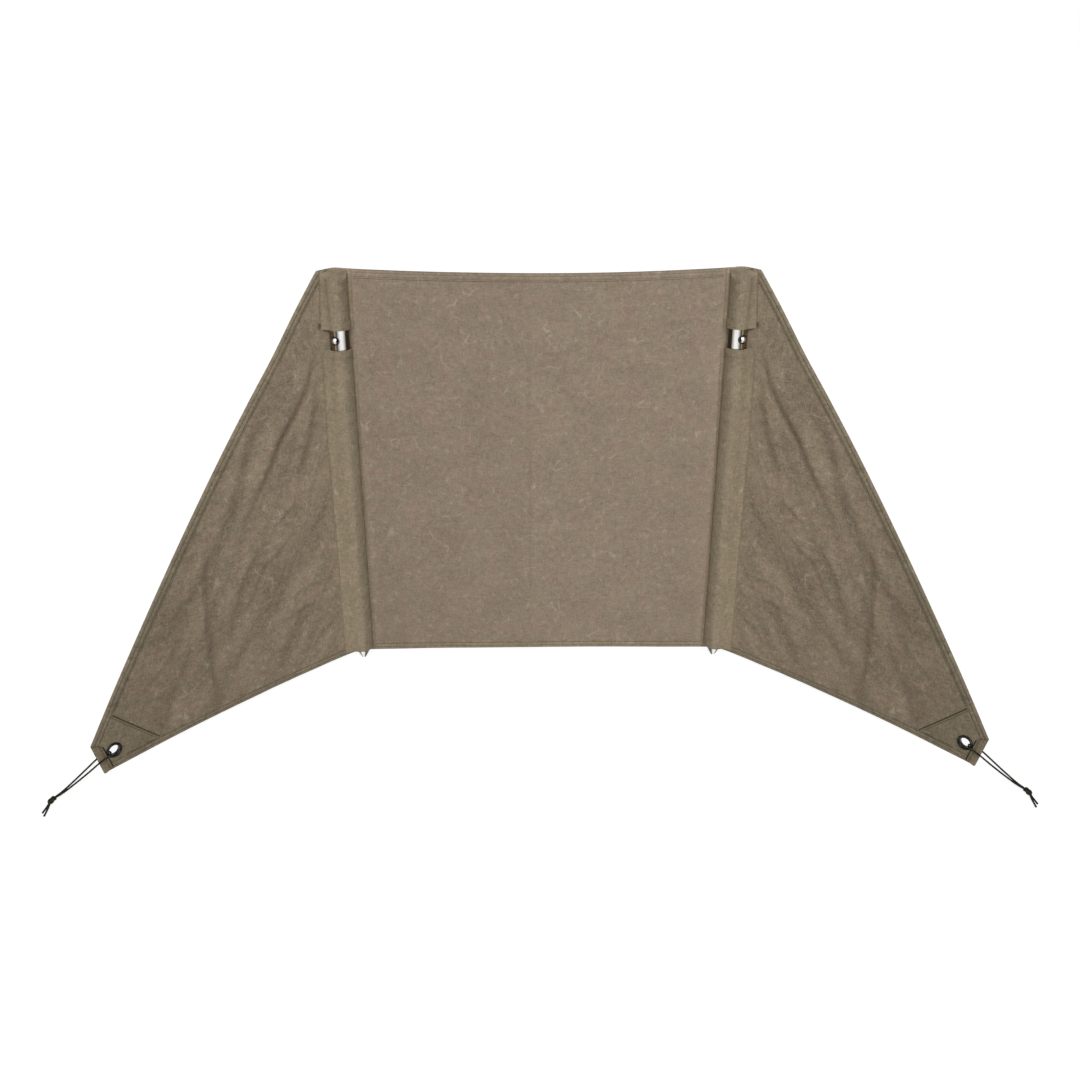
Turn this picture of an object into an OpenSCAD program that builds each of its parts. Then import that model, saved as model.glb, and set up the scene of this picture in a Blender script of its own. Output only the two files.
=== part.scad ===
// Campfire windbreak: a three-panel canvas screen on two steel poles,
// with tapered wings that fold forward about the poles.

/* [Canvas] */
// Distance between the axes of the two poles
pole_gap = 446; // [320:2:600]
// Height of the canvas at a pole, from lower edge to top edge
canvas_h = 495; // [380:5:650]
// Height of the canvas's lower edge above the ground at a pole
canvas_rise = 3; // [2:0.5:8]
// Thickness of one layer of waxed canvas
canvas_t = 1.2; // [0.8:0.1:1.6]
// Sag of the top edge between the poles
top_sag = 6.5; // [1:0.5:10]
// Width of the folded hems
hem_w = 10; // [6:0.5:14]

/* [Wings] */
// Angle that each wing is folded forward from the middle panel
wing_fold = 44; // [20:1:70]
// Length of the level top edge of a wing
wing_top = 15; // [14:0.5:40]
// Reach of the upper corner of the wing's cut tip, from the pole axis
tip_reach = 359; // [280:1:450]
// Height of the upper corner of the wing's cut tip
tip_h = 40; // [34:1:60]
// Set-back of the tip's lower corner from its upper one
tip_setback = 9; // [4:0.5:18]
// Outward bow of the sloping edge
edge_bow = 9; // [1:0.5:14]
// Upward bow of a wing's lower edge
low_bow = 5; // [1:0.5:8]

/* [Wing corners] */
// Length of the reinforcing patch along the wing's lower edge
patch_foot = 80; // [60:1:110]
// Height at which the patch's edge meets the sloping edge
patch_h = 73; // [60:1:100]
// Width of the tab folded over at the cut tip
tab_w = 10.5; // [7:0.5:14]
// Length that the tab's mitre takes off its upper end
tab_mitre_up = 10; // [2:0.5:12]
// Length that the tab's mitre takes off its lower end
tab_mitre_low = 1; // [0.5:0.5:6]

/* [Eyelets] */
// Diameter of the hole through an eyelet
eyelet_hole_d = 12; // [8:0.5:12.5]
// Outer diameter of the eyelet's flange
eyelet_d = 18.5; // [17.5:0.5:21]
// Height of the domed flange
eyelet_dome = 1.6; // [1:0.1:2.2]
// Gap between the flange and the folded tab
eyelet_gap = 0.5; // [0.25:0.25:3]
// Distance of the eyelet up the cut tip, from the lower corner
eyelet_up = 20.5; // [16:0.5:22]

/* [Poles] */
// Outer diameter of a pole
pole_d = 22; // [16:0.5:28]
// Wall of the pole's tube
pole_wall = 1; // [0.8:0.1:2]
// Length of the pointed tip below the tube
tip_l = 24; // [16:1:40]
// Diameter of the flat foot under the tip
foot_d = 5; // [3:0.5:8]
// Length of the plug that holds the tip in the tube
plug_l = 20; // [10:1:40]
// Diameter of the spring button that shows in the window
button_d = 8; // [5:0.5:9]
// Height of the button's dome above the tube
button_rise = 3; // [1.5:0.5:4]
// Angle by which the button looks outward from straight ahead
button_turn = 22; // [0:1:40]

/* [Sleeves] */
// Length of the closed pocket over the top of a pole
pocket_l = 57; // [45:1:110]
// Distance of the pocket's closed top below the canvas's top edge
pocket_drop = 8; // [2:0.5:16]
// Height of the window between pocket and sleeve
window_h = 22.5; // [14:0.5:40]
// Height of the sleeve's lower edge above the ground
sleeve_rise = 12; // [6:0.5:20]
// Distance from the pole axis to the sleeve's edge on the middle panel
seam_reach = 17; // [16:0.5:30]
// Width of the sewn band along that edge
seam_w = 3; // [2:0.5:5]

/* [Cords] */
// Diameter of the peg cord
cord_d = 2; // [1.5:0.1:2]
// Diameter of the knot that closes the cord loop
knot_d = 7.6; // [5:0.1:7.8]

/* [Hidden] */
$fn = 64;
left = -1;
right = 1;
cloth_clear = 0.3;
plug_clear = 0.1;
barrel_clear = 0.2;
button_clear = 0.1;
button_foot_w = 1.5;
button_foot_t = 3;
barrel_wall = 0.6;
washer_t = 0.8;
lip_t = 0.6;
lip_w = 1.2;
curve_steps = 16;
cord_sides = 8;
cord_steps = 3;
profile_step = 15;
canvas_col = "#857766";
sleeve_col = "#8a7d69";
patch_col = "#6f6754";
steel_col = "#c9c9cb";
eyelet_col = "#3b3936";
cord_col = "#4b4b39";

// Rings of the section round a pole: pole, sleeve, then the wing's inner and outer face
pole_r = pole_d / 2;
sleeve_in = pole_r + cloth_clear;
sleeve_out = sleeve_in + canvas_t;
wing_in = sleeve_out + cloth_clear;
wing_out = wing_in + canvas_t;
patch_front = wing_in - canvas_t;
tab_front = patch_front - canvas_t;

// Heights
canvas_top = canvas_rise + canvas_h;
pocket_top = canvas_top - pocket_drop;
pocket_low = pocket_top - pocket_l;
sleeve_top = pocket_low - window_h;
pole_top = pocket_top - canvas_t - cloth_clear;
button_h = sleeve_top + window_h / 2;

// The part stands with its origin under the middle of its box
front_reach = tip_reach * sin(wing_fold) - tab_front * cos(wing_fold);
pole_y = (front_reach - sleeve_out) / 2;

// Tangent from the sleeve's ring to the band sewn on the middle panel
seam_foot = [seam_reach - seam_w, sleeve_in];
leave_a = atan2(seam_foot.y, seam_foot.x) - acos(sleeve_in / norm(seam_foot));
leave_run = (sleeve_in - canvas_t - sleeve_out * sin(leave_a)) / cos(leave_a);
leave_end = [sleeve_out * cos(leave_a) - leave_run * sin(leave_a), sleeve_in - canvas_t];

// Wing outline, as reach along the wing and height
wing_corner = [wing_top, canvas_top];
tip_high = [tip_reach, tip_h];
tip_low = [tip_reach - tip_setback, 0];
slope_dir = (tip_high - wing_corner) / norm(tip_high - wing_corner);
slope_out = [-slope_dir.y, slope_dir.x];
cut_dir = (tip_high - tip_low) / norm(tip_high - tip_low);
cut_in = [-cut_dir.y, cut_dir.x];

// The front hems start where they clear the sleeve's ring as the wing turns
hem_start = sqrt(wing_in * wing_in - patch_front * patch_front) + cloth_clear;

// Eyelet place and stack
eyelet_r = eyelet_hole_d / 2;
flange_r = eyelet_d / 2;
barrel_r = eyelet_r + barrel_wall;
eyelet_at = tip_low + cut_in * (tab_w + flange_r + eyelet_gap) + cut_dir * eyelet_up;
stack_t = 2 * canvas_t + washer_t;

// Cord routes on a wing, as reach, distance behind the pole axis and height
cord_front_route = [[338.7, 12.6, 22.9], [340.1, 9.8, 22.6], [342, 8.6, 22.2], [344.6, 8.4, 21.7],
    [348.5, 8.6, 20.7], [355.5, 8.6, 18.4], [369.5, 8.1, 13.4], [385.5, 7.1, 8.8], [400.5, 6, 5.4],
    [413.5, 5, 4], [421.5, 0.8, 1.8], [429.5, -5, 1.3]];
cord_back_route = [[338.7, 12.6, 22.9], [339.8, 15.7, 22.7], [343.4, 16.9, 22.4], [349, 16.3, 21.4],
    [356.5, 15.2, 19.4], [370.5, 12.6, 15], [386.5, 9.6, 10.2], [400.5, 7.2, 6.4],
    [413.5, 5, 4], [422.5, -3, 1.8], [430.5, -11, 1.3]];
knot_at = [413.5, 5, 4];

function reversed(list) = [for (i = [len(list) - 1:-1:0]) list[i]];

// Points from a to b, bowed to the side of out by rise at the middle
function bowed(a, b, out, rise) =
    [for (i = [0:curve_steps]) let (f = i / curve_steps) a + (b - a) * f + out * (4 * rise * f * (1 - f))];

// Sloping edge of a wing, moved inward by inset
function slope_edge(inset) =
    [for (p = bowed(wing_corner, tip_high, slope_out, edge_bow)) p - slope_out * inset];

// Lower edge of a wing, moved up by lift
function wing_low_edge(lift) =
    [for (p = bowed([0, canvas_rise], tip_low, [0, 1], low_bow)) p + [0, lift]];

// Point of the sloping edge at the height that the patch starts from
function slope_at(height) =
    let (f = (canvas_top - height) / (canvas_top - tip_h))
    wing_corner + (tip_high - wing_corner) * f + slope_out * (4 * edge_bow * f * (1 - f));

// Arc round the front of a pole, from the wing's side to where the strip leaves the ring
function front_arc(radius) =
    [for (i = [0:2 * curve_steps]) let (a = 180 + (180 + leave_a) * i / (2 * curve_steps))
        radius * [cos(a), sin(a)]];

// Smooth curve through a route's own points
function route_point(route, i, f) =
    let (last = len(route) - 1,
         p0 = route[max(i - 1, 0)],
         p1 = route[i],
         p2 = route[min(i + 1, last)],
         p3 = route[min(i + 2, last)])
    p1 + ((p2 - p0) * f + (2 * p0 - 5 * p1 + 4 * p2 - p3) * f * f
        + (3 * p1 - p0 - 3 * p2 + p3) * f * f * f) / 2;
function smooth_route(route) = concat(
    [for (i = [0:len(route) - 2]) for (k = [0:cord_steps - 1]) route_point(route, i, k / cord_steps)],
    [route[len(route) - 1]]);

function cord_ring(at, along) =
    let (side = cross(along, [0, 0, 1]) / norm(cross(along, [0, 0, 1])),
         up = cross(side, along) / norm(along))
    [for (k = [0:cord_sides - 1]) let (a = 360 * k / cord_sides)
        at + cord_d / 2 * (cos(a) * side + sin(a) * up)];

// Children are drawn for the left pole, with +X towards the middle panel
module at_pole(side) {
    translate([side * pole_gap / 2, pole_y, 0])
        mirror([side == right ? 1 : 0, 0, 0])
            children();
}

// Children are drawn on a wing that lies straight out along -X
module on_wing(side) {
    at_pole(side) rotate([0, 0, wing_fold]) children();
}

// Extrudes an outline of reach and height between two distances behind the pole axis
module wing_layer(near, far) {
    translate([0, far, 0])
        rotate([90, 0, 0])
            linear_extrude(far - near)
                mirror([1, 0])
                    children();
}

module wing_outline() {
    polygon(concat([[0, canvas_top]], slope_edge(0), reversed(wing_low_edge(0))));
}

module hem_bands() {
    polygon(concat(slope_edge(0), reversed(slope_edge(hem_w))));
    polygon([[0, canvas_top], wing_corner, wing_corner - [0, hem_w], [0, canvas_top - hem_w]]);
    polygon(concat(wing_low_edge(0), reversed(wing_low_edge(hem_w))));
}

module hem_outline() {
    intersection() {
        wing_outline();
        hem_bands();
        translate([hem_start, 0]) square([tip_reach, canvas_top]);
    }
}

module eyelet_cut() {
    translate([-eyelet_at.x, wing_out + canvas_t, eyelet_at.y])
        rotate([90, 0, 0])
            cylinder(h = 4 * canvas_t, r = barrel_r + barrel_clear);
}

module ring_sector(wedge) {
    intersection() {
        difference() {
            circle(sleeve_out);
            circle(sleeve_in);
        }
        polygon(wedge);
    }
}

// Front strip of canvas round the pole, with its band sewn to the middle panel
module sleeve_section() {
    polygon(concat(front_arc(sleeve_out),
        [leave_end, [seam_reach, sleeve_in - canvas_t], [seam_reach, sleeve_in], seam_foot],
        reversed(front_arc(sleeve_in))));
}

// Closed top of the pocket, over the end of the pole, with its rim inside the strip's thickness
module pocket_lid_section() {
    inner = sleeve_in - cloth_clear;
    middle = sleeve_in + canvas_t / 2;
    back = [for (a = [90:profile_step:165]) inner * [cos(a), sin(a)]];
    front = front_arc(middle);
    polygon(concat(back, [[-inner, -cloth_clear], [-middle, -cloth_clear]],
        [for (i = [1:len(front) - 1]) front[i]],
        [[seam_foot.x + canvas_t / 2, sleeve_in - canvas_t / 2]]));
}

module panel_hem(low, high) {
    half = pole_gap / 2 - seam_reach;
    intersection() {
        polygon(concat(low, reversed(high)));
        translate([-half, 0]) square([2 * half, canvas_top]);
    }
}

module centre_panel() {
    half = pole_gap / 2;
    top_edge = bowed([-half, canvas_top], [half, canvas_top], [0, -1], top_sag);
    hem_edge = [for (p = top_edge) p - [0, hem_w]];
    low_edge = [[-half, canvas_rise], [half, canvas_rise]];
    low_hem = [for (p = low_edge) p + [0, hem_w]];
    far = 2 * sleeve_out;
    color(canvas_col) {
        translate([0, pole_y, 0]) {
            wing_layer(sleeve_in, sleeve_out) polygon(concat(low_edge, reversed(top_edge)));
            wing_layer(sleeve_in - canvas_t, sleeve_in) {
                panel_hem(hem_edge, top_edge);
                panel_hem(low_edge, low_hem);
            }
        }
        for (side = [left, right])
            at_pole(side)
                translate([0, 0, canvas_rise])
                    linear_extrude(canvas_h)
                        ring_sector([[0, 0], [0, far], [-far, far], [-far, 0]]);
    }
}

module sleeve(side) {
    color(sleeve_col)
        at_pole(side)
            translate([0, 0, sleeve_rise])
                linear_extrude(sleeve_top - sleeve_rise)
                    sleeve_section();
}

module pocket(side) {
    color(sleeve_col)
        at_pole(side) {
            translate([0, 0, pocket_low])
                linear_extrude(pocket_l)
                    sleeve_section();
            translate([0, 0, pocket_top - canvas_t])
                linear_extrude(canvas_t)
                    pocket_lid_section();
        }
}

module pole(side) {
    bore_r = pole_r - pole_wall;
    color(steel_col)
        at_pole(side)
            difference() {
                translate([0, 0, tip_l]) cylinder(h = pole_top - tip_l, r = pole_r);
                translate([0, 0, tip_l - 1]) cylinder(h = pole_top - tip_l + 2, r = bore_r);
                at_button() cylinder(h = pole_d, r = button_d / 2 + button_clear);
            }
}

// Children are drawn about the button's axis, with +Z outward from the pole axis
module at_button() {
    translate([0, 0, button_h])
        rotate([90, 0, -button_turn])
            children();
}

// Domed pin through the tube's front wall, with a broad foot that stops against the bore
module button(side) {
    pin_r = button_d / 2;
    bore_r = pole_r - pole_wall;
    foot_low = bore_r - button_foot_t;
    dome = [for (a = [0:profile_step:90]) [pin_r * cos(a), pole_r + button_rise * sin(a)]];
    color(steel_col)
        at_pole(side)
            at_button() {
                rotate_extrude() polygon(concat([[0, foot_low], [pin_r, foot_low]], dome));
                intersection() {
                    translate([0, 0, foot_low]) cylinder(h = bore_r, r = pin_r + button_foot_w);
                    rotate([90, 0, 0]) cylinder(h = pole_d, r = bore_r - button_clear, center = true);
                }
            }
}

// Ogive point with a flat foot, plugged into the tube
module pole_tip(side) {
    foot_r = foot_d / 2;
    plug_r = pole_r - pole_wall - plug_clear;
    ogive = [for (a = [0:profile_step:90]) [foot_r + (pole_r - foot_r) * sin(a), tip_l * a / 90]];
    plug = [[plug_r, tip_l], [plug_r, tip_l + plug_l], [0, tip_l + plug_l]];
    color(steel_col)
        at_pole(side)
            rotate_extrude()
                polygon(concat([[0, 0]], ogive, plug));
}

module wing(side) {
    color(canvas_col)
        on_wing(side)
            difference() {
                union() {
                    wing_layer(wing_in, wing_out) wing_outline();
                    wing_layer(patch_front, wing_in) hem_outline();
                }
                eyelet_cut();
            }
}

module corner_patch(side) {
    past = 2 * tip_reach;
    patch_edge = [[tip_low.x - patch_foot, 0], slope_at(patch_h)];
    color(patch_col)
        on_wing(side)
            difference() {
                wing_layer(patch_front, wing_in)
                    difference() {
                        intersection() {
                            wing_outline();
                            polygon(concat(patch_edge, [[past, patch_h], [past, 0]]));
                        }
                        hem_bands();
                    }
                eyelet_cut();
            }
}

module corner_tab(side) {
    inner_low = tip_low + cut_in * tab_w + cut_dir * tab_mitre_low;
    inner_high = tip_high + cut_in * tab_w - cut_dir * tab_mitre_up;
    color(patch_col)
        on_wing(side)
            wing_layer(tab_front, patch_front)
                polygon([tip_low, tip_high, inner_high, inner_low]);
}

// Children are turned about the eyelet's axis, with +Z to the front of the patch
module at_eyelet(side) {
    on_wing(side)
        translate([-eyelet_at.x, patch_front, eyelet_at.y])
            rotate([90, 0, 0])
                rotate_extrude()
                    children();
}

module eyelet(side) {
    crown_r = (eyelet_r + flange_r) / 2;
    half_w = (flange_r - eyelet_r) / 2;
    dome = [for (a = [0:profile_step:180]) [crown_r + half_w * cos(a), eyelet_dome * sin(a)]];
    color(eyelet_col)
        at_eyelet(side)
            polygon(concat(dome, [[eyelet_r, -stack_t - lip_t], [barrel_r + lip_w, -stack_t - lip_t],
                [barrel_r + lip_w, -stack_t], [barrel_r, -stack_t], [barrel_r, 0]]));
}

module eyelet_washer(side) {
    washer_in = barrel_r + barrel_clear;
    color(eyelet_col)
        at_eyelet(side)
            translate([washer_in, -stack_t])
                square([flange_r - washer_in, washer_t]);
}

module cord(side, route) {
    line = smooth_route([for (p = route) [-p.x, p.y, p.z]]);
    last = len(line) - 1;
    rings = [for (i = [0:last]) cord_ring(line[i], line[min(i + 1, last)] - line[max(i - 1, 0)])];
    points = [for (ring = rings) for (p = ring) p];
    walls = [for (i = [0:last - 1]) for (k = [0:cord_sides - 1])
        let (a = i * cord_sides + k, b = i * cord_sides + (k + 1) % cord_sides)
        each [[a, b, b + cord_sides], [a, b + cord_sides, a + cord_sides]]];
    start_cap = [for (k = [cord_sides - 1:-1:0]) k];
    end_cap = [for (k = [0:cord_sides - 1]) last * cord_sides + k];
    color(cord_col)
        on_wing(side)
            polyhedron(points, concat([start_cap], walls, [end_cap]));
}

module knot(side) {
    color(cord_col)
        on_wing(side)
            translate([-knot_at.x, knot_at.y, knot_at.z])
                sphere(d = knot_d);
}

centre_panel();
sleeve(left);  // left_sleeve
pocket(left);  // left_pocket
pole(left);  // left_pole
pole_tip(left);  // left_pole_tip
button(left);  // left_button
wing(left);  // left_wing
corner_patch(left);  // left_corner_patch
corner_tab(left);  // left_corner_tab
eyelet(left);  // left_eyelet
eyelet_washer(left);  // left_eyelet_washer
cord(left, cord_front_route);  // left_cord_front
cord(left, cord_back_route);  // left_cord_back
knot(left);  // left_knot
sleeve(right);  // right_sleeve
pocket(right);  // right_pocket
pole(right);  // right_pole
pole_tip(right);  // right_pole_tip
button(right);  // right_button
wing(right);  // right_wing
corner_patch(right);  // right_corner_patch
corner_tab(right);  // right_corner_tab
eyelet(right);  // right_eyelet
eyelet_washer(right);  // right_eyelet_washer
cord(right, cord_front_route);  // right_cord_front
cord(right, cord_back_route);  // right_cord_back
knot(right);  // right_knot
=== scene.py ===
import math
import random

import bmesh
import bpy
import numpy as np
from mathutils import Matrix, Vector, noise


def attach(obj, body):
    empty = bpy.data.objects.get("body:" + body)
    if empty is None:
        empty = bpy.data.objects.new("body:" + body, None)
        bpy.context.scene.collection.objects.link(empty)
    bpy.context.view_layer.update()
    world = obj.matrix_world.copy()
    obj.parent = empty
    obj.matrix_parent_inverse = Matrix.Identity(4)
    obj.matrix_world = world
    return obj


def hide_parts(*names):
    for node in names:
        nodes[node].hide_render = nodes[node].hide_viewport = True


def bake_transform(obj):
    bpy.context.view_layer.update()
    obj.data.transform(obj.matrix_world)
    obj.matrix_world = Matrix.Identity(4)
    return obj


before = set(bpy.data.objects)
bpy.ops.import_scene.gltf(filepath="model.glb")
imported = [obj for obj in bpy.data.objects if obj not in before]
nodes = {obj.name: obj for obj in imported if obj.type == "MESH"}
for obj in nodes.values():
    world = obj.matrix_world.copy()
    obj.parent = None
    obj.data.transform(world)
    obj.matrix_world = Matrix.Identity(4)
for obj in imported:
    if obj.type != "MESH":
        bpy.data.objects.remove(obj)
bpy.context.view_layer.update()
scene = bpy.context.scene
dice = random.Random(41)
mm = 0.001
sides = {"left": -1, "right": 1}
print("frame loaded:", len(nodes), "nodes")

# Sizes that the canvas pieces share, in mm and degrees, as in the part's source
screen = {
    "halfGap": 223.0,    # from the middle to a pole's axis
    "poleY": 114.70,     # the poles' axes behind the origin
    "fold": 44.0,        # how far a wing is folded forward
    "top": 498.0,
    "low": 3.0,
    "ring": 11.9,        # pole axis to the middle of the canvas that goes round it
    "wingRing": 13.4,    # and to the middle of a wing's canvas, further out
    "settle": 30.0,      # reach over which the one becomes the other
    "thick": 1.2,
    "bulge": (0.4, 13.0, 20.0),  # how the top edge rises at a pole: height, width and depth
}
foldTurn = math.radians(screen["fold"])
foldCos, foldSin = math.cos(foldTurn), math.sin(foldTurn)
arcLength = screen["ring"] * foldTurn  # canvas that lies round the back of a pole


def smooth(t):
    t = np.clip(t, 0.0, 1.0)
    return t * t * (3 - 2 * t)


# The camera

cameraView = {
    "lens": 40.92,
    "sensor": 36.0,
    "pitch": 27.523,
    "yaw": 0.941,
    "roll": 0.089,
    "aside": 1.36,       # mm from the middle of the line between the poles
    "away": 1325.9,
    "up": 856.5,
}


def aimCamera(look):
    yaw, pitch, roll = (math.radians(look[key]) for key in ("yaw", "pitch", "roll"))
    turn = Matrix.Rotation(-yaw, 3, "Z")
    across = Vector((1, 0, 0))
    down = Vector((0, -math.sin(pitch), -math.cos(pitch)))
    ahead = Vector((0, math.cos(pitch), -math.sin(pitch)))
    right = math.cos(roll) * across - math.sin(roll) * down
    drop = math.sin(roll) * across + math.cos(roll) * down
    axes = Matrix((turn @ right, turn @ -drop, turn @ -ahead)).transposed()
    stand = turn @ Vector((look["aside"], -look["away"], look["up"])) + Vector((0, screen["poleY"], 0))
    lens = bpy.data.cameras.new("photoCamera")
    lens.lens, lens.sensor_width = look["lens"], look["sensor"]
    lens.clip_start, lens.clip_end = 0.05, 50.0
    camera = bpy.data.objects.new("photoCamera", lens)
    scene.collection.objects.link(camera)
    camera.matrix_world = Matrix.Translation(stand * mm) @ axes.to_4x4()
    scene.camera = camera


aimCamera(cameraView)
print("camera set")


# Materials

def tint(code):  # sRGB hex to linear
    parts = [int(code[i:i + 2], 16) / 255 for i in (1, 3, 5)]
    return [p / 12.92 if p <= 0.04045 else ((p + 0.055) / 1.055) ** 2.4 for p in parts] + [1.0]


def plug(tree, node, inputs):  # links sockets, and sets plain values and hex colours
    for key, value in inputs.items():
        if isinstance(value, bpy.types.NodeSocket):
            tree.links.new(value, node.inputs[key])
        else:
            node.inputs[key].default_value = tint(value) if isinstance(value, str) else value


def addNode(tree, kind, inputs=None, **settings):
    node = tree.nodes.new(kind)
    for key, value in settings.items():
        setattr(node, key, value)
    plug(tree, node, inputs or {})
    return node


def newMaterial(name):
    material = bpy.data.materials.new(name)
    material.use_nodes = True
    return material, material.node_tree, material.node_tree.nodes["Principled BSDF"]


def attribute(tree, name, give="Fac"):
    return addNode(tree, "ShaderNodeAttribute", attribute_name=name).outputs[give]


def objectPlace(tree):
    return addNode(tree, "ShaderNodeTexCoord").outputs["Object"]


def mapped(tree, where, inputs):
    return addNode(tree, "ShaderNodeMapping", {"Vector": where, **inputs}).outputs["Vector"]


def noiseOf(tree, where, size, detail, rough=0.5, bent=0.0, give="Fac"):  # size in mm, None if it is mapped
    inputs = {"Vector": where, "Scale": 1000 / size if size else 1.0, "Detail": detail,
              "Roughness": rough, "Distortion": bent}
    return addNode(tree, "ShaderNodeTexNoise", inputs).outputs[give]


def ranged(tree, value, low=0.0, high=1.0, first=0.0, last=1.0, clamp=True):
    inputs = {"Value": value, "From Min": low, "From Max": high, "To Min": first, "To Max": last}
    return addNode(tree, "ShaderNodeMapRange", inputs, clamp=clamp).outputs[0]


def mixed(tree, share, first, second, blend="MIX"):
    inputs = {0: share, 6: first, 7: second}
    return addNode(tree, "ShaderNodeMix", inputs, data_type="RGBA", blend_type=blend).outputs[2]


def sums(tree, operation, *values):
    return addNode(tree, "ShaderNodeMath", dict(enumerate(values)), operation=operation).outputs[0]


def vectorSums(tree, operation, inputs):
    return addNode(tree, "ShaderNodeVectorMath", inputs, operation=operation).outputs[0]


def addBump(tree, shader, height, strength, distance):
    inputs = {"Strength": strength, "Distance": distance, "Height": height}
    bump = addNode(tree, "ShaderNodeBump", inputs)
    tree.links.new(bump.outputs["Normal"], shader.inputs["Normal"])
    return bump


canvasLook = {
    "cloud": 46.0,       # mm across a patch of paler or darker wax
    "clump": 8.0,
    "grain": 2.4,        # threads are about 0.6 mm apart: drawn coarser, so that the grain shows
    "slub": (1.5, 9.0),
    "shares": (0.42, 0.52, 0.6, 0.3),  # how much cloud, clump, grain and weave make of the tone
    "tone": (0.76, 1.38),
    "drift": 15.0,       # mm across a patch that leans to olive
    "lean": (0.4, 0.62),
    "scratch": ((36.0, 0.5), (19.0, 0.36), (9.0, 0.22)),  # mm between scuffs, and their strength
    "scratchWide": 0.6,
    "curl": (0.8, 1.2),  # how closely and how far scuffs curl, as shares of their spacing
    "spots": (0.55, 0.55, 0.7),  # patches with scuffs: their size as a share of the spacing, and their limits
    "rough": (0.88, 0.68),
    "relief": 0.00035,
    "seam": "#382f22",
    "pull": 58.0,        # degrees from the level at which a wing is pulled
    "streak": (110.0, 20.0),
}


# Waxed cotton canvas, tightly woven: matt, with a cloudy wax bloom, a fine crossed grain, pale curly scuffs
# where the wax has cracked, and darker lines along the seams; its colour is scaled by painted light and shade
# carried on the mesh
def waxedCanvas(name, pale, dark, olive, scuff, scuffed=1.0, streaked=0.0):
    look = canvasLook
    material, tree, shader = newMaterial(name)
    flat = attribute(tree, "flat", "Vector")
    cloud = noiseOf(tree, flat, look["cloud"], 4.0, 0.6)
    clump = noiseOf(tree, flat, look["clump"], 3.0, 0.62)
    grain = noiseOf(tree, flat, look["grain"], 1.5, 0.65)
    threads = []
    for across, along in (look["slub"], look["slub"][::-1]):
        stretched = mapped(tree, flat, {"Scale": (1000 / along, 1000 / across, 1.0)})
        threads.append(noiseOf(tree, stretched, None, 1.0))
    woven = sums(tree, "ADD", *threads)
    shares = list(zip((cloud, clump, grain, woven), look["shares"]))
    if streaked:  # the wax is rubbed in lines along the pull from the pole's top to the peg
        tilted = mapped(tree, flat, {"Rotation": (0.0, 0.0, math.radians(look["pull"]))})
        long, wide = look["streak"]
        drawn = mapped(tree, tilted, {"Scale": (1000 / long, 1000 / wide, 1.0)})
        streak = noiseOf(tree, drawn, None, 3.0, 0.6, bent=0.4)
        shares.append((sums(tree, "SUBTRACT", streak, 0.5), streaked))
    tone = 0.0
    for part, share in shares:
        tone = sums(tree, "MULTIPLY_ADD", part, share, tone)
    tone = ranged(tree, tone, *look["tone"])
    drift = noiseOf(tree, mapped(tree, flat, {"Location": (3.1, 1.7, 0.4)}), look["drift"], 3.0, 0.6)
    drift = ranged(tree, drift, *look["lean"])
    cloth = mixed(tree, drift, mixed(tree, tone, dark, pale), mixed(tree, tone, dark, olive))
    close, far = look["curl"]
    patch, few, many = look["spots"]
    for i, (size, strength) in enumerate(look["scratch"]):
        place = {"Location": (5.3 * i, 2.2 * i + 0.7, 0.0), "Rotation": (0.0, 0.0, 0.6 + i)}
        moved = mapped(tree, flat, place)
        bend = noiseOf(tree, moved, size * close, 2.0, give="Color")
        push = vectorSums(tree, "SUBTRACT", {0: bend, 1: (0.5, 0.5, 0.5)})
        push = vectorSums(tree, "SCALE", {0: push, "Scale": far * size * mm})
        curly = vectorSums(tree, "ADD", {0: moved, 1: push})
        crack = addNode(tree, "ShaderNodeTexVoronoi", {"Vector": curly, "Scale": 1000 / size},
                        feature="DISTANCE_TO_EDGE").outputs["Distance"]
        crack = ranged(tree, crack, 0.0, look["scratchWide"] / size * 2, 1.0, 0.0)
        spots = noiseOf(tree, moved, size * patch, 1.0)
        spots = ranged(tree, spots, few, many, last=strength * scuffed)
        cloth = mixed(tree, sums(tree, "MULTIPLY", crack, spots), cloth, scuff)
    # painted light and shade carried on the mesh scale the colour; on the strips a random mottle is added to
    # it
    paintedBrightness = ranged(tree, attribute(tree, "paintedLightAndMottle"), low=-1.0, last=2.0, clamp=False)
    cloth = vectorSums(tree, "SCALE", {0: cloth, "Scale": paintedBrightness})
    wornAndPaintedShade = ranged(tree, attribute(tree, "seam"), high=1.2, last=0.9)
    addBump(tree, shader, sums(tree, "MULTIPLY_ADD", grain, 0.6, woven), 0.5, look["relief"])
    plug(tree, shader, {"Base Color": mixed(tree, wornAndPaintedShade, cloth, look["seam"]),
                        "Roughness": ranged(tree, clump, 0.0, 1.0, *look["rough"]),
                        "Specular IOR Level": 0.12})
    return material


# Spun polyester sewing thread, dyed near the canvas: a dull line of short raised twists
def sewingThread(name, pale, dark):
    material, tree, shader = newMaterial(name)
    fuzz = noiseOf(tree, objectPlace(tree), 0.8, 2.0)
    addBump(tree, shader, fuzz, 0.4, 0.0001)
    plug(tree, shader, {"Base Color": mixed(tree, fuzz, dark, pale), "Roughness": 0.8,
                        "Specular IOR Level": 0.2})
    return material
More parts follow.
